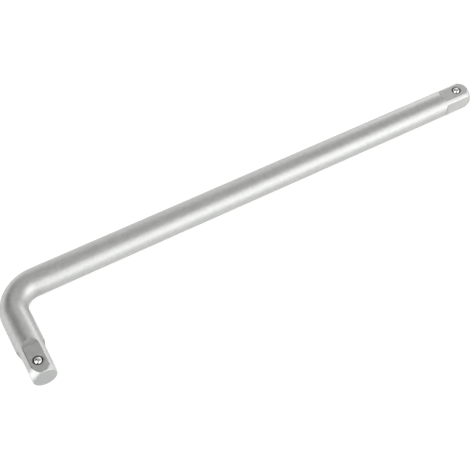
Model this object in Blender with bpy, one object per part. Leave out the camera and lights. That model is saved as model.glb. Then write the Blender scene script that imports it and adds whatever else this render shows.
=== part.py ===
"""An L-handle for square-drive sockets, lying flat.

One round steel bar is bent square, and the bend's inner side is squeezed a little flat. Each of its
ends is milled to a male drive square, and each square has a detent: a steel ball on a coil spring in a
blind hole, held in by the hole's peened lip. One corner of the short arm's square is ground rounder.

Metres, +Z up. The long arm runs along +X and the short arm along -Y. The origin is under the middle
of the whole handle, at the height of the surface that it lies on.
"""

import math

import bmesh
import bpy
from mathutils import Matrix, Vector

MM = 0.001

# The bar
OVERALL_LENGTH = 460.0 * MM  # the short arm's outer side to the long arm's end face
OVERALL_REACH = 94.6 * MM  # the long arm's outer side to the short arm's end face
BEND_RADIUS = 25.0 * MM  # on the bar's centre line
BEND_SQUEEZE = 1.0 * MM  # what the middle of the bend's inner side lacks to be round

# The drive squares, alike at both ends but for the flats' length and run-out
DRIVE_SQUARE = 19.05 * MM  # across the flats
FLAT_DEPTH = 1.975 * MM  # from the round bar down to a flat
END_FACE_DIAMETER = 18.7 * MM
CHAMFER_LENGTH = 3.9 * MM  # along the bar, from the end face to the full diameter
SHORT_END_FLAT_LENGTH = 24.0 * MM  # from the end face to where the run-out starts
LONG_END_FLAT_LENGTH = 25.2 * MM
SHORT_END_RUNOUT_RADIUS = 10.0 * MM  # the milling cutter's radius, which each flat runs out on
LONG_END_RUNOUT_RADIUS = 3.5 * MM

# The short arm's ground corner: a convex arc along the bar, from the end face out to the full diameter
CORNER_GRIND_LENGTH = 8.0 * MM
CORNER_GRIND_REACH = 8.15 * MM  # from the bar's axis to the arc, on the end face
CORNER_GRIND_RADIUS = 14.0 * MM
CORNER_GRIND_TURN = math.radians(-45)  # round the bar from the upper flat, away from the long arm

# The detents, alike at both ends
BALL_DIAMETER = 7.144 * MM
BALL_SETBACK = 10.8 * MM  # from the end face to the ball's centre
BALL_PROUD = 1.6 * MM  # how far the ball stands out of its flat, and its travel
HOLE_DEPTH = 14.0 * MM  # from the flat to the end of the straight wall
HOLE_CLEARANCE = 0.1 * MM  # between the ball and the hole's wall, on the radius
DRILL_POINT_LENGTH = 2.2 * MM
MOUTH_DIAMETER = 8.2 * MM  # where the peened mouth meets the flat
LIP_BITE = 0.12 * MM  # how far the peened lip closes in over the ball, on the radius
LIP_LAND = 0.25 * MM  # the lip's height
LIP_CLEARANCE = 0.05 * MM  # between the ball at rest and the lip
SPRING_WIRE = 0.8 * MM
SPRING_TURNS = 5
SPRING_SIDE_CLEARANCE = 0.2 * MM  # between the coil and the hole's wall
SPRING_END_CLEARANCE = 0.1 * MM  # to the ball above and to the hole's floor below

# How finely the round shapes are cut into faces
BAR_SIDES = 64
BEND_STEPS = 24
RUNOUT_STEPS = 6
GRIND_STEPS = 8
HOLE_SIDES = 40
BALL_SEGMENTS = 32
BALL_RINGS = 20
SPRING_POINTS_PER_TURN = 20
SPRING_BEVEL_RESOLUTION = 2
SMOOTH_ANGLE = math.radians(30)

CUT_OVERRUN = 1.0 * MM  # how far every cutter passes the surface that it cuts

# Worked out from the sizes above
BAR_RADIUS = DRIVE_SQUARE / 2 + FLAT_DEPTH
FLAT_HEIGHT = DRIVE_SQUARE / 2
END_FACE_RADIUS = END_FACE_DIAMETER / 2
BALL_RADIUS = BALL_DIAMETER / 2
BALL_HEIGHT = FLAT_HEIGHT + BALL_PROUD - BALL_RADIUS  # above the bar's axis
HOLE_RADIUS = BALL_RADIUS + HOLE_CLEARANCE
LIP_RADIUS = BALL_RADIUS - LIP_BITE
LIP_BOTTOM = BALL_HEIGHT + math.sqrt((BALL_RADIUS + LIP_CLEARANCE) ** 2 - LIP_RADIUS**2)
HOLE_FLOOR = FLAT_HEIGHT - HOLE_DEPTH
WIRE_RADIUS = SPRING_WIRE / 2
COIL_RADIUS = HOLE_RADIUS - SPRING_SIDE_CLEARANCE - WIRE_RADIUS

# The handle's centre lines: the corner is where the two arms' axes would cross
CORNER = Vector((BAR_RADIUS - OVERALL_LENGTH / 2, OVERALL_REACH / 2 - BAR_RADIUS, BAR_RADIUS))
LONG_TIP = Vector((OVERALL_LENGTH / 2, CORNER.y, CORNER.z))
SHORT_TIP = Vector((CORNER.x, -OVERALL_REACH / 2, CORNER.z))
ALONG_LONG_ARM = Vector((1, 0, 0))
ALONG_SHORT_ARM = Vector((0, -1, 0))
UP = Vector((0, 0, 1))

STEEL_GREY = (0.60, 0.61, 0.60)
BALL_GREY = (0.72, 0.72, 0.71)
SPRING_GREY = (0.42, 0.42, 0.43)


def clear_scene():
    for obj in list(bpy.data.objects):
        bpy.data.objects.remove(obj)


def metal(name, colour, roughness):
    material = bpy.data.materials.new(name)
    material.use_nodes = True
    shader = material.node_tree.nodes["Principled BSDF"]
    shader.inputs["Base Color"].default_value = (*colour, 1)
    shader.inputs["Roughness"].default_value = roughness
    shader.inputs["Metallic"].default_value = 1
    return material


def add_object(name, data, material=None, parent=None):
    obj = bpy.data.objects.new(name, data)
    bpy.context.scene.collection.objects.link(obj)
    obj.parent = parent
    if material:
        data.materials.append(material)
    return obj


def mesh_object(name, shape, material=None, parent=None):
    """Turns a bmesh into an object whose round faces are shaded smooth."""
    bmesh.ops.recalc_face_normals(shape, faces=shape.faces)
    mesh = bpy.data.meshes.new(name)
    shape.to_mesh(mesh)
    shape.free()
    mesh.shade_smooth()
    mesh.set_sharp_from_angle(angle=SMOOTH_ANGLE)
    return add_object(name, mesh, material, parent)


def ring(shape, centre, across, upwards, radius, sides, far_radius=None):
    """A circle of vertices in the plane of two unit vectors. far_radius squeezes the half behind across."""
    vertices = []
    for step in range(sides):
        angle = math.tau * step / sides
        reach = far_radius if far_radius and math.cos(angle) < 0 else radius
        offset = across * math.cos(angle) * reach + upwards * math.sin(angle) * radius
        vertices.append(shape.verts.new(centre + offset))
    return vertices


def loft(shape, rings):
    """Joins neighbouring rings with quads and closes both ends. Returns the last ring's cap."""
    for first, second in zip(rings, rings[1:]):
        for step in range(len(first)):
            after = (step + 1) % len(first)
            shape.faces.new((first[step], first[after], second[after], second[step]))
    shape.faces.new(rings[0])
    return shape.faces.new(reversed(rings[-1]))


def bar_sections():
    """(centre, direction of travel, radius, radius on the bend's inner side) from one end to the other."""
    inward = -ALONG_SHORT_ARM
    sections = [
        (SHORT_TIP, inward, END_FACE_RADIUS, END_FACE_RADIUS),
        (SHORT_TIP + inward * CHAMFER_LENGTH, inward, BAR_RADIUS, BAR_RADIUS),
    ]
    bend_centre = CORNER + (ALONG_LONG_ARM + ALONG_SHORT_ARM) * BEND_RADIUS
    for step in range(BEND_STEPS + 1):
        angle = math.pi / 2 * step / BEND_STEPS
        outwards = -ALONG_LONG_ARM * math.cos(angle) - ALONG_SHORT_ARM * math.sin(angle)
        travel = ALONG_LONG_ARM * math.sin(angle) - ALONG_SHORT_ARM * math.cos(angle)
        inner_radius = BAR_RADIUS - BEND_SQUEEZE * math.sin(2 * angle)
        sections.append((bend_centre + outwards * BEND_RADIUS, travel, BAR_RADIUS, inner_radius))
    shoulder = LONG_TIP - ALONG_LONG_ARM * CHAMFER_LENGTH
    sections.append((shoulder, ALONG_LONG_ARM, BAR_RADIUS, BAR_RADIUS))
    sections.append((LONG_TIP, ALONG_LONG_ARM, END_FACE_RADIUS, END_FACE_RADIUS))
    return sections


def round_bar(material):
    """The bent round bar with its turned chamfers, before the flats and the holes are cut."""
    shape = bmesh.new()
    rings = []
    for centre, travel, radius, inner_radius in bar_sections():
        outwards = UP.cross(travel)
        rings.append(ring(shape, centre, outwards, UP, radius, BAR_SIDES, inner_radius))
    loft(shape, rings)
    return mesh_object("handle_bar", shape, material)


def end_frame(name, tip, outward):
    """An empty at the middle of an end face, with its +X into the bar and its +Z up."""
    inward = -outward
    frame = add_object(name, None)
    axes = Matrix((inward, UP.cross(inward), UP)).transposed()
    frame.matrix_world = Matrix.Translation(tip) @ axes.to_4x4()
    return frame


def hide_as_cutter(obj):
    obj.hide_render = True
    obj.display_type = "WIRE"


def cut(target, cutter):
    hide_as_cutter(cutter)
    boolean = target.modifiers.new(cutter.name, "BOOLEAN")
    boolean.operation = "DIFFERENCE"
    boolean.solver = "EXACT"
    boolean.object = cutter


def flat_outline(flat_length, runout_radius):
    """(distance in from the end face, height above the axis) round what is milled off for one flat."""
    top = BAR_RADIUS + CUT_OVERRUN
    climb = top - FLAT_HEIGHT
    sweep = math.acos(max(0, 1 - climb / runout_radius))
    outline = [(-CUT_OVERRUN, FLAT_HEIGHT)]
    for step in range(RUNOUT_STEPS + 1):
        angle = sweep * step / RUNOUT_STEPS
        inward = flat_length + runout_radius * math.sin(angle)
        outline.append((inward, FLAT_HEIGHT + runout_radius * (1 - math.cos(angle))))
    outline.append((outline[-1][0], top + CUT_OVERRUN))
    outline.append((-CUT_OVERRUN, top + CUT_OVERRUN))
    return outline


def grind_outline():
    """(distance in from the end face, height above the axis) round what is ground off the corner.

    The arc passes its two given points and goes on to its own top, which is clear of the bar."""
    drop = BAR_RADIUS - CORNER_GRIND_REACH
    chord = math.hypot(CORNER_GRIND_LENGTH, drop)
    aside = math.sqrt(max(0, CORNER_GRIND_RADIUS**2 - (chord / 2) ** 2)) / chord
    centre_inward = CORNER_GRIND_LENGTH / 2 + drop * aside
    centre_height = (BAR_RADIUS + CORNER_GRIND_REACH) / 2 - CORNER_GRIND_LENGTH * aside
    sweep = math.asin(min(1, centre_inward / CORNER_GRIND_RADIUS))
    outline = [(-CUT_OVERRUN, CORNER_GRIND_REACH)]
    for step in range(GRIND_STEPS + 1):
        angle = sweep * (1 - step / GRIND_STEPS)
        inward = centre_inward - CORNER_GRIND_RADIUS * math.sin(angle)
        outline.append((inward, centre_height + CORNER_GRIND_RADIUS * math.cos(angle)))
    outline.append((outline[-1][0], BAR_RADIUS + CUT_OVERRUN))
    outline.append((-CUT_OVERRUN, BAR_RADIUS + CUT_OVERRUN))
    return outline


def long_cutter(name, frame, turn, outline):
    """The block that cuts an outline along the bar. turn carries it round from the upper flat."""
    half_width = BAR_RADIUS + CUT_OVERRUN
    shape = bmesh.new()
    rings = []
    for side in (-half_width, half_width):
        rings.append([shape.verts.new((inward, side, height)) for inward, height in outline])
    loft(shape, rings)
    cutter = mesh_object(name, shape, parent=frame)
    cutter.rotation_euler.x = turn
    return cutter


def hole_profile():
    """(radius, height above the axis) down the ball's hole, from above the flat to the drill's point."""
    lip_top = LIP_BOTTOM + LIP_LAND
    mouth_radius = MOUTH_DIAMETER / 2
    return [
        (mouth_radius, FLAT_HEIGHT + CUT_OVERRUN),
        (mouth_radius, FLAT_HEIGHT),
        (LIP_RADIUS, lip_top),
        (LIP_RADIUS, LIP_BOTTOM),
        (HOLE_RADIUS, LIP_BOTTOM - (HOLE_RADIUS - LIP_RADIUS)),
        (HOLE_RADIUS, HOLE_FLOOR),
    ]


def hole_cutter(name, frame):
    """The turned shape of the ball's hole: the peened mouth, the straight wall and the drill's point."""
    shape = bmesh.new()
    rings = []
    for radius, height in hole_profile():
        centre = Vector((0, 0, height))
        rings.append(ring(shape, centre, Vector((1, 0, 0)), Vector((0, 1, 0)), radius, HOLE_SIDES))
    floor = loft(shape, rings)
    drill_point = bmesh.ops.poke(shape, faces=[floor])["verts"][0]
    drill_point.co.z -= DRILL_POINT_LENGTH
    cutter = mesh_object(name, shape, parent=frame)
    cutter.location.x = BALL_SETBACK
    return cutter


def detent_ball(name, frame, material):
    shape = bmesh.new()
    bmesh.ops.create_uvsphere(
        shape, u_segments=BALL_SEGMENTS, v_segments=BALL_RINGS, radius=BALL_RADIUS
    )
    ball = mesh_object(name, shape, material, frame)
    ball.location = (BALL_SETBACK, 0, BALL_HEIGHT)


def spring_heights():
    """The heights of the coil's wire at its lower and its upper end, above the bar's axis."""
    lower = HOLE_FLOOR + SPRING_END_CLEARANCE + WIRE_RADIUS
    reach = BALL_RADIUS + WIRE_RADIUS + SPRING_END_CLEARANCE
    upper = BALL_HEIGHT - math.sqrt(reach**2 - COIL_RADIUS**2)
    return lower, upper


def spring_points():
    """The centre line of the coil's wire, from its lower end, which is at the origin's height."""
    lower, upper = spring_heights()
    steps = SPRING_TURNS * SPRING_POINTS_PER_TURN
    points = []
    for step in range(steps + 1):
        angle = math.tau * step / SPRING_POINTS_PER_TURN
        rise = (upper - lower) * step / steps
        points.append(Vector((COIL_RADIUS * math.cos(angle), COIL_RADIUS * math.sin(angle), rise)))
    return points


def spring_gap(points):
    """The least gap between one turn of the wire and the next."""
    least = math.inf
    for step, point in enumerate(points):
        for other in points[step + SPRING_POINTS_PER_TURN // 2 :]:
            least = min(least, (other - point).length)
    return least - SPRING_WIRE


def detent_spring(name, frame, material):
    """One unbroken round wire, wound up from the hole's floor to the underside of the ball."""
    points = spring_points()
    print(f"{name}: least gap between its turns {spring_gap(points) / MM:.2f} mm")
    curve = bpy.data.curves.new(name, "CURVE")
    curve.dimensions = "3D"
    curve.bevel_depth = WIRE_RADIUS
    curve.bevel_resolution = SPRING_BEVEL_RESOLUTION
    curve.use_fill_caps = True
    wire = curve.splines.new("POLY")
    wire.points.add(len(points) - 1)
    for control, point in zip(wire.points, points):
        control.co = (*point, 1)
    spring = add_object(name, curve, material, frame)
    spring.location = (BALL_SETBACK, 0, spring_heights()[0])


def drive_square(prefix, bar, frame, outline):
    for quarter in range(4):
        turn = math.pi / 2 * quarter
        cut(bar, long_cutter(f"{prefix}_flat_cutter_{quarter + 1}", frame, turn, outline))


def detent(prefix, bar, frame, ball_material, spring_material):
    cut(bar, hole_cutter(f"{prefix}_hole_cutter", frame))
    detent_ball(f"{prefix}_ball", frame, ball_material)
    detent_spring(f"{prefix}_spring", frame, spring_material)


def main():
    clear_scene()
    steel = metal("satin_chrome_steel", STEEL_GREY, 0.36)
    ball_steel = metal("polished_ball_steel", BALL_GREY, 0.12)
    spring_steel = metal("spring_wire", SPRING_GREY, 0.4)
    bar = round_bar(steel)
    short_frame = end_frame("short_end_frame", SHORT_TIP, ALONG_SHORT_ARM)
    long_frame = end_frame("long_end_frame", LONG_TIP, ALONG_LONG_ARM)
    short_outline = flat_outline(SHORT_END_FLAT_LENGTH, SHORT_END_RUNOUT_RADIUS)
    long_outline = flat_outline(LONG_END_FLAT_LENGTH, LONG_END_RUNOUT_RADIUS)
    drive_square("short_end", bar, short_frame, short_outline)
    drive_square("long_end", bar, long_frame, long_outline)
    cut(bar, long_cutter("corner_grind_cutter", short_frame, CORNER_GRIND_TURN, grind_outline()))
    detent("short_end", bar, short_frame, ball_steel, spring_steel)
    detent("long_end", bar, long_frame, ball_steel, spring_steel)


main()
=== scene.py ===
"""The looks of the L-handle: satin chrome on a bent, milled bar, with two polished detent balls.

Metres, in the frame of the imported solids: the long arm runs along +X, the short arm along -Y, +Z is up.
"""

import math
from collections import namedtuple

import bmesh
import bpy
import numpy as np
from mathutils import Matrix, Quaternion, Vector


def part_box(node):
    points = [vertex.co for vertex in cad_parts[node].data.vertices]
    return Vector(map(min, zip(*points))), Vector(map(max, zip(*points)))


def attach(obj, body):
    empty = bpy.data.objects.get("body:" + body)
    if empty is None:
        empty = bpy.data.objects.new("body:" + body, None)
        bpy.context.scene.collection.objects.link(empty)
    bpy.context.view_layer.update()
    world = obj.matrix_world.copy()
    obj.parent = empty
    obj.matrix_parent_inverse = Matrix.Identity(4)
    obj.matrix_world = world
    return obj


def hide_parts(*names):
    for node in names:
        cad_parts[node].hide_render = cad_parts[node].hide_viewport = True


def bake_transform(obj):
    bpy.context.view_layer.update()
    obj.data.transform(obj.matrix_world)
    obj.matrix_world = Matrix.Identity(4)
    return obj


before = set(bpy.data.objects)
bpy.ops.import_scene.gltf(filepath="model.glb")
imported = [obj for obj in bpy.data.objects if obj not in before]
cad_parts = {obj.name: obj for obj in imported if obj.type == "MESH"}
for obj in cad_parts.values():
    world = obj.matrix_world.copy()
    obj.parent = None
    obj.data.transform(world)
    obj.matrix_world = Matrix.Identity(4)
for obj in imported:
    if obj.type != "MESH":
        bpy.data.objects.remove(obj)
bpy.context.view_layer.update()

MM = 0.001
UP = Vector((0, 0, 1))
ALONG_LONG_ARM = Vector((1, 0, 0))
ALONG_SHORT_ARM = Vector((0, -1, 0))
BALLS = ("short_end_ball", "long_end_ball")

# The photograph's camera, for a square picture
CAMERA_PLACE = Vector((-0.249704, -0.394733, 0.619827))
CAMERA_AZIMUTH = math.radians(28.871)  # turned from +Y towards +X
CAMERA_ELEVATION = math.radians(53.594)  # looking down
CAMERA_ROLL = math.radians(0.465)
CAMERA_LENS_MM = 70.569
CAMERA_SENSOR_MM = 36.0
CAMERA_CLIP = (0.01, 50.0)

# Sizes of the bar that no node's box gives, as in the solids
DRIVE_SQUARE = 19.05 * MM
END_FACE_RADIUS = 9.35 * MM
CHAMFER_LENGTH = 3.9 * MM
BEND_RADIUS = 25.0 * MM
BEND_SQUEEZE = 1.0 * MM
CORNER_GRIND_LENGTH = 8.0 * MM
CORNER_GRIND_REACH = 8.15 * MM
CORNER_GRIND_RADIUS = 14.0 * MM
SHORT_END_FLAT_LENGTH = 24.0 * MM
LONG_END_FLAT_LENGTH = 25.2 * MM
SHORT_END_RUNOUT_RADIUS = 10.0 * MM
LONG_END_RUNOUT_RADIUS = 3.5 * MM
FLAT_HEIGHT = DRIVE_SQUARE / 2

# The detent's hole, as in the solids, with the groove that the staking punch leaves round it
HOLE_CLEARANCE = 0.1 * MM
HOLE_DEPTH = 14.0 * MM
DRILL_POINT_LENGTH = 2.2 * MM
MOUTH_RADIUS = 4.1 * MM
LIP_BITE = 0.12 * MM
LIP_CLEARANCE = 0.05 * MM
LIP_LAND = 0.25 * MM
STAKE_RADIUS = 4.85 * MM
STAKE_DEPTH = 0.16 * MM
SPRING_WIRE = 0.8 * MM
SPRING_TURNS = 5
CUT_OVERRUN = 1.0 * MM

# How much the edges are broken. Their polish fades over an end face's fillet, and a share of it is left
# on the face's outermost ring
EDGE_ROUNDING = 0.25 * MM
SHOULDER_ROUNDING = 0.3 * MM
FACE_FILLET = 0.4 * MM
FILLET_FADE = 0.5
FACE_RING_POLISH = 0.4

# How finely the bar is cut: segments in half a flat, over its edge, and from there to the corner
FLAT_SEGMENTS = 10
EDGE_SEGMENTS = 8
CORNER_SEGMENTS = 4
EDGE_SPREAD = math.radians(3)
LEAST_EDGE_ANGLE = EDGE_SPREAD + math.radians(1)
PLAIN_EDGE_ANGLE = math.radians(28.7)
PLAIN_EDGE_SPREAD = math.radians(8.2)
LAYOUT_EASE_LENGTH = 9.0 * MM
FACE_RINGS = 7
FILLET_STEPS = 6
CHAMFER_STEPS = 18
PAST_SHOULDER = (0.15 * MM, 0.3 * MM, 0.6 * MM)
RUNOUT_STEPS = 28
PAST_RUNOUT = (0.1 * MM, 0.2 * MM, 0.35 * MM, 0.6 * MM, 1.0 * MM)
LEAST_STEP = 0.01 * MM
FLAT_STEP = 1.2 * MM
PLAIN_STEP = 2.5 * MM
BEND_STEPS = 72
BEND_ALONG = 1.0  # stands for the distance from an end face, which the shader needs near the ends only
GRIND_STEPS = 20
HOLE_SIDES = 96
SHARP_ANGLE = math.radians(30)

# How finely the balls and springs are cut
BALL_SIDES = 96
BALL_RINGS = 64
COIL_STEPS_PER_TURN = 40
WIRE_SIDES = 14

# Noise scales are per metre, and a bump is its strength and depth. A noise is read between the two
# values of its MIDDLE and clamped beyond them
NOISE_MIDDLE = (0.3, 0.7)
TONE_MIDDLE = (0.38, 0.62)
CHROME_TONES = ((0.54, 0.545, 0.54), (0.606, 0.611, 0.606))
CHROME_ROUGHNESS = (0.39, 0.47)
GRAIN_SCALE = 2600
MOTTLE_SCALE = 340
PATCH_SCALE = 105
MOTTLE_SHARE = 0.8
GRAIN_BUMP = (0.35, 0.02 * MM)
MOTTLE_BUMP = (0.42, 0.08 * MM)
PATCH_BUMP = (0.06, 0.08 * MM)
EDGE_SMOOTHING = 0.2
# The run-outs' darker grey is a painted shade, which dims the light line that their fillets reflect
RUNOUT_PAINTED_SHADE_TONE = (0.36, 0.36, 0.35)
RUNOUT_PAINTED_SHADE_SHARE = 0.75
RUNOUT_ROUGHENING = 0.12
RUNOUT_SHADE = (24.4 * MM, 26.4 * MM)  # where it comes in, from the end face
# The end faces' darker grey is a painted shade, for the shaded floor that they reflect
END_FACE_PAINTED_SHADE_TONE = (0.485, 0.5, 0.5)
# A near-black painted shade for the gap round each ball
HOLE_PAINTED_SHADE_TONE = (0.1, 0.1, 0.095)
CUTTER_PHASE = 9000  # radians per metre from the end face, one mark to each full turn
CUTTER_WOBBLE = 2.5  # radians
CUTTER_WOBBLE_SCALE = 420
CUTTER_BUMP = (0.12, 0.01 * MM)

BALL_TONE = (0.64, 0.64, 0.635, 1)
BALL_ROUGHNESS = (0.05, 0.1)
SMEAR_SCALE = 900
HAIRLINE_SCALE = 4000
HAIRLINE_BUMP = (0.05, 0.005 * MM)

WIRE_TONES = ((0.34, 0.34, 0.35), (0.48, 0.48, 0.49))
WIRE_ROUGHNESS = (0.34, 0.46)
STREAK_SCALE = 1500
STREAK_BUMP = (0.2, 0.01 * MM)

# The studio that the metal reflects. Its walls dim upwards to a grey ceiling, and height is the sine of
# the elevation. A patch is its direction, the half angles in degrees where it is full and where it ends,
# and the light that it adds or takes away, and beside it stands what it shapes in the photograph's view.
WALL_LIGHT = 1.3
CEILING_LIGHT = 0.53
CEILING_HEIGHT = 0.42
TINT_HEIGHTS = (0.2, 0.8)
CEILING_TINT = (1, 1.003, 0.965)
WHITE = (1, 1, 1)
STUDIO_PATCHES = (
    ((0.29, -0.95, 0.04), 33, 60, 1.24),  # the long arm's broad highlight
    ((-0.78, -0.26, 0.57), 20, 36, 2.2),  # the short arm's outer side and its end's chamfer
    ((0.74, 0.65, 0.18), 6, 24, 1.3),  # the short arm's inner side
    ((-0.44, 0.60, 0.67), 14, 32, -0.4),  # the dark band of the bend and the short arm
    ((0.95, -0.30, 0.06), 12, 36, 0.35),  # the glint inside the bend
    ((0.27, 0.85, 0.46), 10, 26, 0.4),  # the light line along the long arm's far flank
    ((0.30, 0.95, -0.05), 10, 26, -0.45),  # the dark line beyond it, at the edge
    ((0.31, 0.40, 0.86), 6, 20, 0.08),  # the upward flats and the tops of the arms, a little
    ((-0.54, -0.82, 0.2), 20, 33, -1.4),  # the dark gap between each ball's two bright spots
    ((-0.06, -0.51, 0.86), 8, 24, -0.12),  # the shade on the far side of the broad highlight
)
PANEL_HEIGHT = 1.6
PANEL_SIZE = 1.6
PANEL_WATTS = 3

# The floor. The camera sees darker paint under a strong glow, so that the shadow on it stays faint
FLOOR_HALF_SIZE = 6.0
FLOOR_TONE = (0.85, 0.85, 0.85)
FLOOR_TONE_SEEN = (0.28, 0.28, 0.28)
FLOOR_GLOW_SEEN = 0.82
FLOOR_GLOW_REFLECTED = 0.15
FLOOR_ROUGHNESS = 0.3

bar_low, bar_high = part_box("handle_bar")
BAR_RADIUS = (bar_high.z - bar_low.z) / 2
CORNER = Vector((bar_low.x + BAR_RADIUS, bar_high.y - BAR_RADIUS, bar_low.z + BAR_RADIUS))
LONG_TIP = Vector((bar_high.x, CORNER.y, CORNER.z))
SHORT_TIP = Vector((CORNER.x, bar_low.y, CORNER.z))
FULL_EDGE_ANGLE = math.acos(FLAT_HEIGHT / BAR_RADIUS)
FLAT_HALF_WIDTH = math.sqrt(BAR_RADIUS**2 - FLAT_HEIGHT**2)
CHAMFER_SLOPE = (BAR_RADIUS - END_FACE_RADIUS) / CHAMFER_LENGTH

# One ring of points round the bar: its middle, the way the bar runs there, the points' angles and radii,
# and what the shader reads: how much is milled, how much is edge, and the distance from the end face
Row = namedtuple("Row", "centre travel angles radii milled edge along")


def smooth_min(first, second, rounding):
    """The smaller of two lengths, eased where they nearly agree, which breaks the edge between them."""
    overlap = np.maximum(rounding - np.abs(first - second), 0)
    return np.minimum(first, second) - overlap**2 / (4 * rounding)


def cone_radius(inward):
    """The turned end's radius at a distance in from the end face."""
    return float(smooth_min(BAR_RADIUS, END_FACE_RADIUS + CHAMFER_SLOPE * inward, SHOULDER_ROUNDING))


def runout_height(inward, flat_length, runout_radius):
    """The height of the milled surface above the axis, over the flat and up the cutter's run-out."""
    past = inward - flat_length
    if past <= 0:
        return FLAT_HEIGHT
    if past >= runout_radius:
        return FLAT_HEIGHT + runout_radius + (past - runout_radius) * runout_radius / FLAT_HEIGHT
    return FLAT_HEIGHT + runout_radius - math.sqrt(runout_radius**2 - past**2)


def runout_reach(height, flat_length, runout_radius):
    """How far in the run-out gets to a height above the axis."""
    return flat_length + math.sqrt(runout_radius**2 - (runout_radius - (height - FLAT_HEIGHT)) ** 2)


def end_distances(flat_length, runout_radius):
    """Distances in from the end face, close together where an edge crosses the bar."""
    distances = []
    for step in range(FILLET_STEPS + 1):
        distances.append(FACE_FILLET * (1 - math.cos(math.pi / 2 * step / FILLET_STEPS)))
    for step in range(CHAMFER_STEPS + 1):
        half_width = FLAT_HALF_WIDTH * step / CHAMFER_STEPS
        distances.append((math.hypot(FLAT_HEIGHT, half_width) - END_FACE_RADIUS) / CHAMFER_SLOPE)
    distances += [CHAMFER_LENGTH + past for past in PAST_SHOULDER]
    steps = round((flat_length - CHAMFER_LENGTH) / FLAT_STEP)
    for step in range(1, steps + 1):
        distances.append(CHAMFER_LENGTH + (flat_length - CHAMFER_LENGTH) * step / steps)
    for step in range(1, RUNOUT_STEPS + 1):
        half_width = FLAT_HALF_WIDTH * (1 - step / RUNOUT_STEPS)
        height = math.sqrt(BAR_RADIUS**2 - half_width**2)
        distances.append(runout_reach(height, flat_length, runout_radius))
    runout_end = runout_reach(BAR_RADIUS, flat_length, runout_radius)
    distances += [runout_end + past for past in PAST_RUNOUT]
    kept = [0.0]
    for distance in sorted(distances):
        if distance - kept[-1] > LEAST_STEP:
            kept.append(distance)
    return kept


def angle_layout(edge_angle, spread):
    """Angles round the whole section, bunched at the eight edges of the four flats."""
    half = np.concatenate(
        (
            np.linspace(0, edge_angle - spread, FLAT_SEGMENTS + 1)[:-1],
            np.linspace(edge_angle - spread, edge_angle + spread, EDGE_SEGMENTS + 1)[:-1],
            np.linspace(edge_angle + spread, math.pi / 4, CORNER_SEGMENTS + 1),
        )
    )
    quarter = np.concatenate((-half[::-1][:-1], half))[:-1]
    return np.concatenate([quarter + math.pi / 2 * turn for turn in range(4)])


def section(inward, flat_length, runout_radius):
    """(angles, radii, milled, edge) of the section at a distance in from an end face."""
    radius = cone_radius(inward)
    height = runout_height(inward, flat_length, runout_radius)
    edge_angle = math.acos(min(1, height / radius))
    spread = EDGE_SPREAD
    layout_edge = min(max(edge_angle, LEAST_EDGE_ANGLE), FULL_EDGE_ANGLE)
    past = inward - runout_reach(BAR_RADIUS, flat_length, runout_radius)
    if past > 0:
        ease = min(past / LAYOUT_EASE_LENGTH, 1)
        layout_edge = LEAST_EDGE_ANGLE + (PLAIN_EDGE_ANGLE - LEAST_EDGE_ANGLE) * ease
        spread = EDGE_SPREAD + (PLAIN_EDGE_SPREAD - EDGE_SPREAD) * ease
    angles = angle_layout(layout_edge, spread)
    reach = np.maximum(np.abs(np.cos(angles)), np.abs(np.sin(angles)))
    flat = height / reach
    radii = smooth_min(flat, np.full_like(flat, radius), EDGE_ROUNDING)
    milled = np.clip((radius - flat) / EDGE_ROUNDING + 0.5, 0, 1)
    edge = np.clip(1 - np.abs(radius - flat) / EDGE_ROUNDING, 0, 1)
    if inward < FACE_FILLET:
        rise = math.sqrt(1 - (1 - inward / FACE_FILLET) ** 2)
        radii = radii - FACE_FILLET * (1 - rise)
        edge = np.maximum(edge, 1 - rise * FILLET_FADE)
    return angles, radii, milled, edge


def arm_rows(tip, outward, flat_length, runout_radius):
    """The rows of one arm, from its end face to the bend."""
    straight_length = (tip - CORNER).length - BEND_RADIUS
    distances = end_distances(flat_length, runout_radius)
    start = distances[-1]
    steps = math.ceil((straight_length - start) / PLAIN_STEP)
    distances += [start + (straight_length - start) * (step / steps) for step in range(1, steps + 1)]
    rows = []
    for distance in distances:
        angles, radii, milled, edge = section(distance, flat_length, runout_radius)
        rows.append(Row(tip - outward * distance, -outward, angles, radii, milled, edge, distance))
    return rows


def bend_rows():
    """The rows inside the bend, from the short arm's side to the long arm's."""
    centre = CORNER + (ALONG_LONG_ARM + ALONG_SHORT_ARM) * BEND_RADIUS
    round_angles = angle_layout(PLAIN_EDGE_ANGLE, PLAIN_EDGE_SPREAD)
    nothing = np.zeros_like(round_angles)
    rows = []
    for step in range(1, BEND_STEPS):
        turn = math.pi / 2 * step / BEND_STEPS
        outwards = -ALONG_LONG_ARM * math.cos(turn) - ALONG_SHORT_ARM * math.sin(turn)
        travel = ALONG_LONG_ARM * math.sin(turn) - ALONG_SHORT_ARM * math.cos(turn)
        inner_radius = BAR_RADIUS - BEND_SQUEEZE * math.sin(2 * turn)
        across = np.cos(round_angles) * np.where(np.cos(round_angles) > 0, BAR_RADIUS, inner_radius)
        upwards = np.sin(round_angles) * BAR_RADIUS
        angles, radii = np.arctan2(upwards, across), np.hypot(upwards, across)
        middle = centre + outwards * BEND_RADIUS
        rows.append(Row(middle, travel, angles, radii, nothing, nothing, BEND_ALONG))
    return rows


def face_rows(row):
    """Rings that shrink from an end's first row towards the middle of its face."""
    rows = []
    for step in range(1, FACE_RINGS):
        share = 1 - step / FACE_RINGS
        polish = FACE_RING_POLISH if step == 1 else 0
        rows.append(row._replace(radii=row.radii * share, milled=row.milled * 0, edge=row.edge * polish))
    return rows


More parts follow.
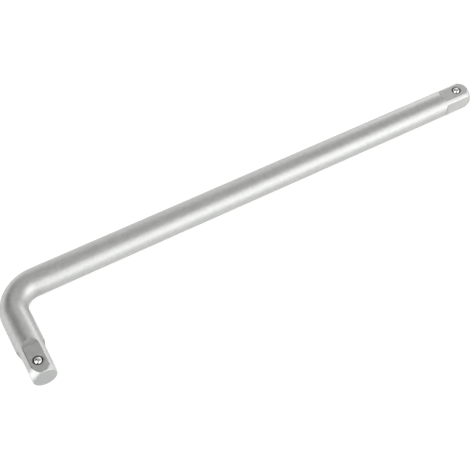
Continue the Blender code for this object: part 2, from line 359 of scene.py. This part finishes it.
def bar_rows():
    """Every row, from the middle of the short arm's end face to the middle of the long arm's."""
    short_arm = arm_rows(SHORT_TIP, ALONG_SHORT_ARM, SHORT_END_FLAT_LENGTH, SHORT_END_RUNOUT_RADIUS)
    long_arm = arm_rows(LONG_TIP, ALONG_LONG_ARM, LONG_END_FLAT_LENGTH, LONG_END_RUNOUT_RADIUS)
    # The long arm is measured in from its own face, so its rows turn round to travel outwards
    turned = [row._replace(travel=-row.travel) for row in long_arm]
    return face_rows(short_arm[0])[::-1] + short_arm + bend_rows() + turned[::-1] + face_rows(turned[0])


def bar_mesh(name):
    """The whole bar as one grid of quads, closed by a fan at the middle of each end face."""
    rows = bar_rows()
    sides = len(rows[0].angles)
    points = []
    attributes = {"milled": [], "edge": [], "along": [], "faced": []}
    for row in rows:
        across = np.array(UP.cross(row.travel))
        outwards = np.outer(row.radii * np.cos(row.angles), across)
        upwards = np.outer(row.radii * np.sin(row.angles), UP)
        points.append(np.array(row.centre) + outwards + upwards)
        attributes["milled"].append(row.milled)
        attributes["edge"].append(row.edge)
        attributes["along"].append(np.full(sides, row.along))
        attributes["faced"].append(np.full(sides, float(row.along == 0)))
    faces = []
    for row in range(len(rows) - 1):
        low, high = row * sides, (row + 1) * sides
        for side in range(sides):
            after = (side + 1) % sides
            faces.append((low + side, low + after, high + after, high + side))
    first_middle = len(rows) * sides
    last = (len(rows) - 1) * sides
    for side in range(sides):
        after = (side + 1) % sides
        faces.append((first_middle, after, side))
        faces.append((first_middle + 1, last + side, last + after))
    middles = np.array([rows[0].centre, rows[-1].centre])
    mesh = bpy.data.meshes.new(name)
    mesh.from_pydata(np.concatenate(points + [middles]).tolist(), [], faces)
    for key, values in attributes.items():
        at_middles = np.full(2, float(key == "faced"))
        layer = mesh.attributes.new(key, "FLOAT", "POINT")
        layer.data.foreach_set("value", np.concatenate(values + [at_middles]).astype(np.float32))
    return mesh


def add_object(name, data, material=None):
    obj = bpy.data.objects.new(name, data)
    bpy.context.scene.collection.objects.link(obj)
    if material:
        data.materials.append(material)
    return obj


def join_rings(shape, rings):
    """Quads between each ring of points and the next."""
    for first, second in zip(rings, rings[1:]):
        for side in range(len(first)):
            after = (side + 1) % len(first)
            shape.faces.new((first[side], second[side], second[after], first[after]))


def finished_mesh(shape, name):
    mesh = bpy.data.meshes.new(name)
    shape.to_mesh(mesh)
    shape.free()
    return mesh


def turned_solid(name, profile):
    """A closed solid turned round Z from (radius, height) pairs, top to bottom, the last one on the axis."""
    shape = bmesh.new()
    rings = []
    for radius, height in profile[:-1]:
        ring = []
        for step in range(HOLE_SIDES):
            angle = math.tau * step / HOLE_SIDES
            ring.append(shape.verts.new((radius * math.cos(angle), radius * math.sin(angle), height)))
        rings.append(ring)
    join_rings(shape, rings)
    shape.faces.new(rings[0])
    point = shape.verts.new((0, 0, profile[-1][1]))
    for step in range(HOLE_SIDES):
        shape.faces.new((rings[-1][step], point, rings[-1][(step + 1) % HOLE_SIDES]))
    bmesh.ops.recalc_face_normals(shape, faces=shape.faces)
    return add_object(name, finished_mesh(shape, name))


def hole_profile(ball_radius, ball_height, flat):
    """(radius, height) down the ball's hole: staked groove, rounded rim, flare, lip, wall, drill point."""
    hole_radius = ball_radius + HOLE_CLEARANCE
    lip_radius = ball_radius - LIP_BITE
    lip_bottom = ball_height + math.sqrt((ball_radius + LIP_CLEARANCE) ** 2 - lip_radius**2)
    lip_top = lip_bottom + LIP_LAND
    groove = STAKE_RADIUS - MOUTH_RADIUS
    return [
        (STAKE_RADIUS + STAKE_DEPTH, flat + CUT_OVERRUN),
        (STAKE_RADIUS + STAKE_DEPTH, flat + STAKE_DEPTH * 0.1),
        (STAKE_RADIUS, flat - STAKE_DEPTH * 0.35),
        (STAKE_RADIUS - groove * 0.2, flat - STAKE_DEPTH * 0.8),
        (STAKE_RADIUS - groove * 0.45, flat - STAKE_DEPTH),
        (STAKE_RADIUS - groove * 0.7, flat - STAKE_DEPTH * 0.8),
        (MOUTH_RADIUS + groove * 0.12, flat - STAKE_DEPTH * 0.45),
        (MOUTH_RADIUS, flat - STAKE_DEPTH * 0.7),
        (MOUTH_RADIUS - groove * 0.15, flat - STAKE_DEPTH * 1.6),
        (lip_radius + LIP_BITE * 0.6, lip_top + LIP_LAND * 0.3),
        (lip_radius, lip_top - LIP_LAND * 0.3),
        (lip_radius, lip_bottom),
        (hole_radius, lip_bottom - (hole_radius - lip_radius)),
        (hole_radius, flat - HOLE_DEPTH),
        (0, flat - HOLE_DEPTH - DRILL_POINT_LENGTH),
    ]


def ground_corner():
    """The block that takes the short end's ground corner off, its lower side a convex arc along the bar."""
    drop = BAR_RADIUS - CORNER_GRIND_REACH
    half_chord = math.hypot(CORNER_GRIND_LENGTH, drop) / 2
    aside = math.sqrt(CORNER_GRIND_RADIUS**2 - half_chord**2) / (2 * half_chord)
    centre_inward = CORNER_GRIND_LENGTH / 2 + drop * aside
    centre_height = (BAR_RADIUS + CORNER_GRIND_REACH) / 2 - CORNER_GRIND_LENGTH * aside
    sweep = math.asin(centre_inward / CORNER_GRIND_RADIUS)
    outline = [(-CUT_OVERRUN, CORNER_GRIND_REACH)]
    for step in range(GRIND_STEPS + 1):
        angle = sweep * (1 - step / GRIND_STEPS)
        inward = centre_inward - CORNER_GRIND_RADIUS * math.sin(angle)
        outline.append((inward, centre_height + CORNER_GRIND_RADIUS * math.cos(angle)))
    outline.append((outline[-1][0], BAR_RADIUS + CUT_OVERRUN))
    outline.append((-CUT_OVERRUN, BAR_RADIUS + CUT_OVERRUN))
    diagonal = (UP - ALONG_LONG_ARM).normalized()
    sideways = diagonal.cross(ALONG_SHORT_ARM)
    shape = bmesh.new()
    rings = []
    for side in (-BAR_RADIUS, BAR_RADIUS):
        ring = []
        for inward, height in outline:
            place = SHORT_TIP - ALONG_SHORT_ARM * inward + diagonal * height + sideways * side
            ring.append(shape.verts.new(place))
        rings.append(ring)
    for step in range(len(outline)):
        after = (step + 1) % len(outline)
        shape.faces.new((rings[0][step], rings[0][after], rings[1][after], rings[1][step]))
    shape.faces.new(rings[0])
    shape.faces.new(rings[1][::-1])
    bmesh.ops.recalc_face_normals(shape, faces=shape.faces)
    return add_object("ground_corner", finished_mesh(shape, "ground_corner"))


def cut_away(obj, cutters):
    """Cuts the cutters' shapes out, and leaves the result as the object's own mesh."""
    for cutter in cutters:
        boolean = obj.modifiers.new(cutter.name, "BOOLEAN")
        boolean.operation = "DIFFERENCE"
        boolean.solver = "EXACT"
        boolean.object = cutter
    bpy.context.view_layer.update()
    cut_mesh = bpy.data.meshes.new_from_object(obj.evaluated_get(bpy.context.evaluated_depsgraph_get()))
    whole_mesh = obj.data
    obj.modifiers.clear()
    obj.data = cut_mesh
    bpy.data.meshes.remove(whole_mesh)
    for cutter in cutters:
        bpy.data.objects.remove(cutter)


def ball_facts(node):
    """A ball's centre and radius."""
    low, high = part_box(node)
    return (low + high) / 2, (high.z - low.z) / 2


def mark_hole_painted_shade(mesh):
    """Marks the faces of each ball's hole, from its mouth down, for a near-black painted shade in the gap
    round the ball.
    """
    middles = [ball_facts(node)[0] for node in BALLS]
    flat = CORNER.z + FLAT_HEIGHT
    lowest = flat - HOLE_DEPTH - DRILL_POINT_LENGTH
    hole_painted_shade = mesh.attributes.new("hole_painted_shade", "FLOAT", "FACE")
    for face in mesh.polygons:
        near = min(math.hypot(face.center.x - middle.x, face.center.y - middle.y) for middle in middles)
        in_hole = near < MOUTH_RADIUS and lowest < face.center.z < flat - STAKE_DEPTH
        hole_painted_shade.data[face.index].value = float(in_hole)


def build_bar(material):
    bar = add_object("handle_bar_fine", bar_mesh("handle_bar_fine"), material)
    cutters = [ground_corner()]
    for node in BALLS:
        centre, radius = ball_facts(node)
        cutter = turned_solid(f"{node}_hole", hole_profile(radius, centre.z, CORNER.z + FLAT_HEIGHT))
        cutter.location = (centre.x, centre.y, 0)
        cutters.append(cutter)
    cut_away(bar, cutters)
    bar.data.materials.clear()
    bar.data.materials.append(material)
    mark_hole_painted_shade(bar.data)
    bar.data.shade_smooth()
    bar.data.set_sharp_from_angle(angle=SHARP_ANGLE)
    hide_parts("handle_bar")
    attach(bar, "handle")


def build_ball(node, material):
    centre, radius = ball_facts(node)
    shape = bmesh.new()
    bmesh.ops.create_uvsphere(shape, u_segments=BALL_SIDES, v_segments=BALL_RINGS, radius=radius)
    mesh = finished_mesh(shape, f"{node}_fine")
    mesh.transform(Matrix.Translation(centre))
    mesh.shade_smooth()
    ball = add_object(f"{node}_fine", mesh, material)
    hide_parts(node)
    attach(ball, node)


def build_spring(prefix, material):
    """A finer winding of the same wire."""
    node = f"{prefix}_spring"
    low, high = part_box(node)
    middle = (low + high) / 2
    wire_radius = SPRING_WIRE / 2
    coil_radius = (high.x - low.x) / 2 - wire_radius
    bottom, top = low.z + wire_radius, high.z - wire_radius
    steps = SPRING_TURNS * COIL_STEPS_PER_TURN
    shape = bmesh.new()
    rings = []
    for step in range(steps + 1):
        angle = math.tau * step / COIL_STEPS_PER_TURN
        outward = Vector((math.cos(angle), math.sin(angle), 0))
        place = Vector((middle.x, middle.y, bottom + (top - bottom) * step / steps)) + outward * coil_radius
        ring = []
        for side in range(WIRE_SIDES):
            turn = math.tau * side / WIRE_SIDES
            aside = outward * math.cos(turn) + UP * math.sin(turn)
            ring.append(shape.verts.new(place + aside * wire_radius))
        rings.append(ring)
    join_rings(shape, rings)
    shape.faces.new(rings[0])
    shape.faces.new(rings[-1][::-1])
    bmesh.ops.recalc_face_normals(shape, faces=shape.faces)
    mesh = finished_mesh(shape, f"{node}_fine")
    mesh.shade_smooth()
    spring = add_object(f"{node}_fine", mesh, material)
    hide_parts(node)
    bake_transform(spring)


class Nodes:
    """A short way to write a node tree."""

    def __init__(self, tree):
        self.tree = tree

    def add(self, kind, **values):
        node = self.tree.nodes.new(kind)
        for key, value in values.items():
            setattr(node, key, value)
        return node

    def link(self, output, socket):
        self.tree.links.new(output, socket)

    def noise(self, vector, scale, detail=3.0, roughness=0.5):
        node = self.add("ShaderNodeTexNoise")
        node.inputs["Scale"].default_value = scale
        node.inputs["Detail"].default_value = detail
        node.inputs["Roughness"].default_value = roughness
        self.link(vector, node.inputs["Vector"])
        return node.outputs["Fac"]

    def remap(self, value, low, high, to_low, to_high, smooth=False):
        node = self.add("ShaderNodeMapRange", interpolation_type="SMOOTHSTEP" if smooth else "LINEAR")
        for key, number in (("From Min", low), ("From Max", high), ("To Min", to_low), ("To Max", to_high)):
            node.inputs[key].default_value = number
        self.link(value, node.inputs["Value"])
        return node.outputs["Result"]

    def math(self, operation, first, second):
        node = self.add("ShaderNodeMath", operation=operation)
        for socket, value in zip(node.inputs, (first, second)):
            if isinstance(value, (int, float)):
                socket.default_value = value
            else:
                self.link(value, socket)
        return node.outputs["Value"]

    def sine(self, value):
        node = self.add("ShaderNodeMath", operation="SINE")
        self.link(value, node.inputs[0])
        return node.outputs["Value"]

    def attribute(self, name):
        return self.add("ShaderNodeAttribute", attribute_name=name).outputs["Fac"]

    def mix_colour(self, factor, first, second):
        node = self.add("ShaderNodeMix", data_type="RGBA")
        self.link(factor, node.inputs["Factor"])
        colours = [socket for socket in node.inputs if socket.type == "RGBA"]
        for socket, value in zip(colours, (first, second)):
            if isinstance(value, tuple):
                socket.default_value = (*value, 1)
            else:
                self.link(value, socket)
        return next(socket for socket in node.outputs if socket.type == "RGBA")

    def bump(self, height, strength, depth, below=None):
        node = self.add("ShaderNodeBump")
        node.inputs["Strength"].default_value = strength
        node.inputs["Distance"].default_value = depth
        self.link(height, node.inputs["Height"])
        if below:
            self.link(below, node.inputs["Normal"])
        return node.outputs["Normal"]


def metal_material(name):
    material = bpy.data.materials.new(name)
    material.use_nodes = True
    nodes = Nodes(material.node_tree)
    shader = material.node_tree.nodes["Principled BSDF"]
    shader.inputs["Metallic"].default_value = 1
    place = nodes.add("ShaderNodeTexCoord").outputs["Object"]
    return material, nodes, shader, place


def satin_chrome():
    """Satin chrome over a forged bar: fine grain, faint mottling and smoother edges.

    The flats have the cutter's marks and its run-outs are duller, under a painted shade that dims the light
    line they reflect. The end faces carry a painted shade for the shaded floor they reflect, and a
    near-black painted shade fills the gap in the balls' holes.
    """
    material, nodes, shader, place = metal_material("satin_chrome")
    milled = nodes.attribute("milled")
    along = nodes.attribute("along")
    grain = nodes.noise(place, GRAIN_SCALE, detail=4, roughness=0.6)
    mottle = nodes.noise(place, MOTTLE_SCALE, roughness=0.8)
    patches = nodes.noise(place, PATCH_SCALE)
    mottle_part = nodes.math("MULTIPLY", mottle, MOTTLE_SHARE)
    tone = nodes.math("ADD", mottle_part, nodes.math("MULTIPLY", patches, 1 - MOTTLE_SHARE))
    colour = nodes.mix_colour(nodes.remap(tone, *TONE_MIDDLE, 0, 1), *CHROME_TONES)
    # The run-outs are rougher and get a painted shade, which dims the light line that they reflect
    runout = nodes.math("MULTIPLY", nodes.remap(along, *RUNOUT_SHADE, 0, 1, smooth=True), milled)
    colour = nodes.mix_colour(nodes.math("MULTIPLY", runout, RUNOUT_PAINTED_SHADE_SHARE), colour, RUNOUT_PAINTED_SHADE_TONE)
    # The end faces get a painted shade, for the shaded floor that they reflect
    colour = nodes.mix_colour(nodes.attribute("faced"), colour, END_FACE_PAINTED_SHADE_TONE)
    # A near-black painted shade in the gap round each ball
    colour = nodes.mix_colour(nodes.attribute("hole_painted_shade"), colour, HOLE_PAINTED_SHADE_TONE)
    nodes.link(colour, shader.inputs["Base Color"])
    rough = nodes.remap(mottle, *NOISE_MIDDLE, *CHROME_ROUGHNESS)
    rough = nodes.math("SUBTRACT", rough, nodes.math("MULTIPLY", nodes.attribute("edge"), EDGE_SMOOTHING))
    rough = nodes.math("ADD", rough, nodes.math("MULTIPLY", runout, RUNOUT_ROUGHENING))
    nodes.link(rough, shader.inputs["Roughness"])
    wobble = nodes.math("MULTIPLY", nodes.noise(place, CUTTER_WOBBLE_SCALE, detail=2), CUTTER_WOBBLE)
    lines = nodes.sine(nodes.math("ADD", nodes.math("MULTIPLY", along, CUTTER_PHASE), wobble))
    normal = nodes.bump(grain, *GRAIN_BUMP)
    normal = nodes.bump(mottle, *MOTTLE_BUMP, normal)
    normal = nodes.bump(patches, *PATCH_BUMP, normal)
    normal = nodes.bump(nodes.math("MULTIPLY", lines, milled), *CUTTER_BUMP, normal)
    nodes.link(normal, shader.inputs["Normal"])
    return material


def polished_ball():
    """A bearing ball: nearly a mirror, with the finest of hairlines."""
    material, nodes, shader, place = metal_material("polished_ball")
    shader.inputs["Base Color"].default_value = BALL_TONE
    smear = nodes.noise(place, SMEAR_SCALE)
    nodes.link(nodes.remap(smear, *NOISE_MIDDLE, *BALL_ROUGHNESS), shader.inputs["Roughness"])
    hairlines = nodes.noise(place, HAIRLINE_SCALE, detail=2)
    nodes.link(nodes.bump(hairlines, *HAIRLINE_BUMP), shader.inputs["Normal"])
    return material


def spring_wire():
    """Drawn spring wire, greyer and rougher than the plated bar."""
    material, nodes, shader, place = metal_material("spring_wire")
    streaks = nodes.noise(place, STREAK_SCALE, detail=4)
    nodes.link(nodes.mix_colour(streaks, *WIRE_TONES), shader.inputs["Base Color"])
    nodes.link(nodes.remap(streaks, *NOISE_MIDDLE, *WIRE_ROUGHNESS), shader.inputs["Roughness"])
    nodes.link(nodes.bump(streaks, *STREAK_BUMP), shader.inputs["Normal"])
    return material


def glow(nodes, direction, towards, inner, outer, strength):
    """A soft round patch of studio light round a direction."""
    dot = nodes.add("ShaderNodeVectorMath", operation="DOT_PRODUCT")
    nodes.link(direction, dot.inputs[0])
    dot.inputs[1].default_value = Vector(towards).normalized()
    edge, core = math.cos(math.radians(outer)), math.cos(math.radians(inner))
    return nodes.remap(dot.outputs["Value"], edge, core, 0, strength, smooth=True)


def studio_world():
    """A pale studio, which lights the handle and shows in its metal. The camera sees plain white instead.

    Glossy rays aren't given that white: the studio is what the chrome reflects.
    """
    world = bpy.data.worlds.new("studio")
    world.use_nodes = True
    bpy.context.scene.world = world
    nodes = Nodes(world.node_tree)
    background = world.node_tree.nodes["Background"]
    ray = nodes.add("ShaderNodeLightPath").outputs
    direction = nodes.add("ShaderNodeTexCoord").outputs["Generated"]
    axes = nodes.add("ShaderNodeSeparateXYZ")
    nodes.link(direction, axes.inputs[0])
    height = axes.outputs["Z"]
    light = nodes.remap(height, 0, CEILING_HEIGHT, WALL_LIGHT, CEILING_LIGHT, smooth=True)
    for towards, inner, outer, strength in STUDIO_PATCHES:
        light = nodes.math("ADD", light, glow(nodes, direction, towards, inner, outer, strength))
    light = nodes.math("MAXIMUM", light, 0)
    seen = nodes.math("MAXIMUM", ray["Is Camera Ray"], ray["Is Transmission Ray"])
    light = nodes.math("ADD", light, nodes.math("MULTIPLY", nodes.math("SUBTRACT", 1, light), seen))
    nodes.link(light, background.inputs["Strength"])
    tint = nodes.remap(height, *TINT_HEIGHTS, 0, 1, smooth=True)
    tinted = nodes.mix_colour(tint, WHITE, CEILING_TINT)
    nodes.link(nodes.mix_colour(seen, tinted, WHITE), background.inputs["Color"])


def overhead_panel():
    """A soft light from above, which the floor shows and the metal doesn't."""
    lamp = bpy.data.lights.new("overhead_panel", "AREA")
    lamp.shape = "SQUARE"
    lamp.size = PANEL_SIZE
    lamp.energy = PANEL_WATTS
    panel = add_object("overhead_panel", lamp)
    panel.location = (0, 0, PANEL_HEIGHT)
    panel.visible_glossy = False


def studio_floor():
    """A plain white floor, on which the camera sees little but the handle's own soft shadow.

    For the camera most of its white is its own glow. Metal and glass see its paint with a little glow.
    """
    shape = bmesh.new()
    bmesh.ops.create_grid(shape, x_segments=1, y_segments=1, size=FLOOR_HALF_SIZE)
    material = bpy.data.materials.new("floor_white")
    material.use_nodes = True
    tree = material.node_tree
    nodes = Nodes(tree)
    tree.nodes.remove(tree.nodes["Principled BSDF"])
    ray = nodes.add("ShaderNodeLightPath").outputs
    seen = ray["Is Camera Ray"]
    reflected = nodes.math("MAXIMUM", ray["Is Glossy Ray"], ray["Is Transmission Ray"])
    paint = nodes.add("ShaderNodeBsdfPrincipled")
    paint.inputs["Roughness"].default_value = FLOOR_ROUGHNESS
    nodes.link(nodes.mix_colour(seen, FLOOR_TONE, FLOOR_TONE_SEEN), paint.inputs["Base Color"])
    white = nodes.add("ShaderNodeEmission")
    seen_glow = nodes.math("MULTIPLY", seen, FLOOR_GLOW_SEEN)
    reflected_glow = nodes.math("MULTIPLY", reflected, FLOOR_GLOW_REFLECTED)
    nodes.link(nodes.math("ADD", seen_glow, reflected_glow), white.inputs["Strength"])
    both = nodes.add("ShaderNodeAddShader")
    nodes.link(paint.outputs[0], both.inputs[0])
    nodes.link(white.outputs[0], both.inputs[1])
    # Seen from below, the floor is left out, so that it doesn't hide the handle
    from_below = nodes.math("MULTIPLY", nodes.add("ShaderNodeNewGeometry").outputs["Backfacing"], seen)
    mix = nodes.add("ShaderNodeMixShader")
    nodes.link(from_below, mix.inputs["Fac"])
    nodes.link(both.outputs[0], mix.inputs[1])
    nodes.link(nodes.add("ShaderNodeBsdfTransparent").outputs[0], mix.inputs[2])
    nodes.link(mix.outputs[0], tree.nodes["Material Output"].inputs["Surface"])
    floor = add_object("floor", finished_mesh(shape, "floor"), material)


def photograph_camera():
    camera = bpy.data.cameras.new("camera")
    camera.sensor_width = CAMERA_SENSOR_MM
    camera.lens = CAMERA_LENS_MM
    camera.clip_start, camera.clip_end = CAMERA_CLIP
    obj = add_object("camera", camera)
    level = math.cos(CAMERA_ELEVATION)
    ahead = Vector(
        (level * math.sin(CAMERA_AZIMUTH), level * math.cos(CAMERA_AZIMUTH), -math.sin(CAMERA_ELEVATION))
    )
    turn = Quaternion(ahead, CAMERA_ROLL) @ ahead.to_track_quat("-Z", "Y")
    obj.location = CAMERA_PLACE
    obj.rotation_euler = turn.to_euler()
    bpy.context.scene.camera = obj


def main():
    bpy.context.scene.view_settings.view_transform = "Standard"
    photograph_camera()
    studio_world()
    studio_floor()
    overhead_panel()
    build_bar(satin_chrome())
    ball_steel = polished_ball()
    wire = spring_wire()
    for prefix in ("short_end", "long_end"):
        build_ball(f"{prefix}_ball", ball_steel)
        build_spring(prefix, wire)


main()
